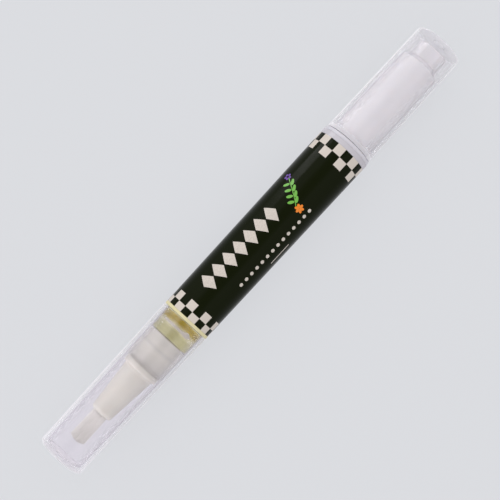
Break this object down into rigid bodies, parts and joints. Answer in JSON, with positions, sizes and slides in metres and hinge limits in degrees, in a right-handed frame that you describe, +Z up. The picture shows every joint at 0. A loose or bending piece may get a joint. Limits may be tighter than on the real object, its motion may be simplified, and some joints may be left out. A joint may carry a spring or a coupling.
{
  "type": "nail oil pen",
  "caption": "Twist-up nail oil pen: clear pull-off cap, brush on a white nozzle, clear oil barrel with a printed sleeve, screw-driven piston and a clear twist knob.",
  "frame": {"origin": "on the surface that the pen lies on, under the middle of its length and its axis", "axes": "+X along the pen from the cap to the knob, +Z up, +Y across"},
  "size_m": [0.136, 0.0138, 0.0139],
  "materials": {
    "clear_cap": "clear, polished",
    "bristle": "fine nylon filaments",
    "ferrule": "satin",
    "tube": "natural, translucent",
    "white_nozzle": "satin",
    "plug": "natural, translucent",
    "clear_barrel": "clear, polished",
    "printed_sleeve": "gloss print, near black with off-white",
    "oil": "clear liquid, golden",
    "piston": "natural, translucent",
    "rod": "satin",
    "nut": "satin",
    "click_ring": "satin",
    "white_sleeve": "satin",
    "clear_knob": "clear, polished"
  },
  "bodies": {
    "pen_body": {"barrel": "clear_barrel", "label": "printed_sleeve", "oil_fill": "oil", "neck_plug": "plug", "nozzle": "white_nozzle", "feed_tube": "tube", "brush_ferrule": "ferrule", "brush_tuft": "bristle", "guide_nut": "nut"},
    "cap_body": {"cap": "clear_cap"},
    "knob": {"knob_shell": "clear_knob", "drive_sleeve": "white_sleeve", "click_ring": "click_ring"},
    "rod": {"screw_rod": "rod"},
    "piston_body": {"piston": "piston"}
  },
  "joints": [
    {"name": "cap_slide", "type": "slide", "parent": "pen_body", "child": "cap_body", "axis": [-1, 0, 0], "range_m": [0, 0.045]},
    {"name": "knob_twist", "type": "hinge", "parent": "pen_body", "child": "knob", "pos_m": [0.03455, 0, 0.00695], "axis": [-1, 0, 0], "range_deg": [0, 4320], "deforming": ["click_ring"]},
    {"name": "rod_slide", "type": "slide", "parent": "knob", "child": "rod", "axis": [-1, 0, 0], "range_m": [0, 0.036]},
    {"name": "piston_slide", "type": "slide", "parent": "pen_body", "child": "piston_body", "axis": [-1, 0, 0], "range_m": [0, 0.036], "deforming": ["oil_fill"]}
  ],
  "couplings": [
    {"joint": "rod_slide", "follows": "knob_twist", "m_per_rad": 0.00047746},
    {"joint": "piston_slide", "follows": "knob_twist", "m_per_rad": 0.00047746}
  ]
}
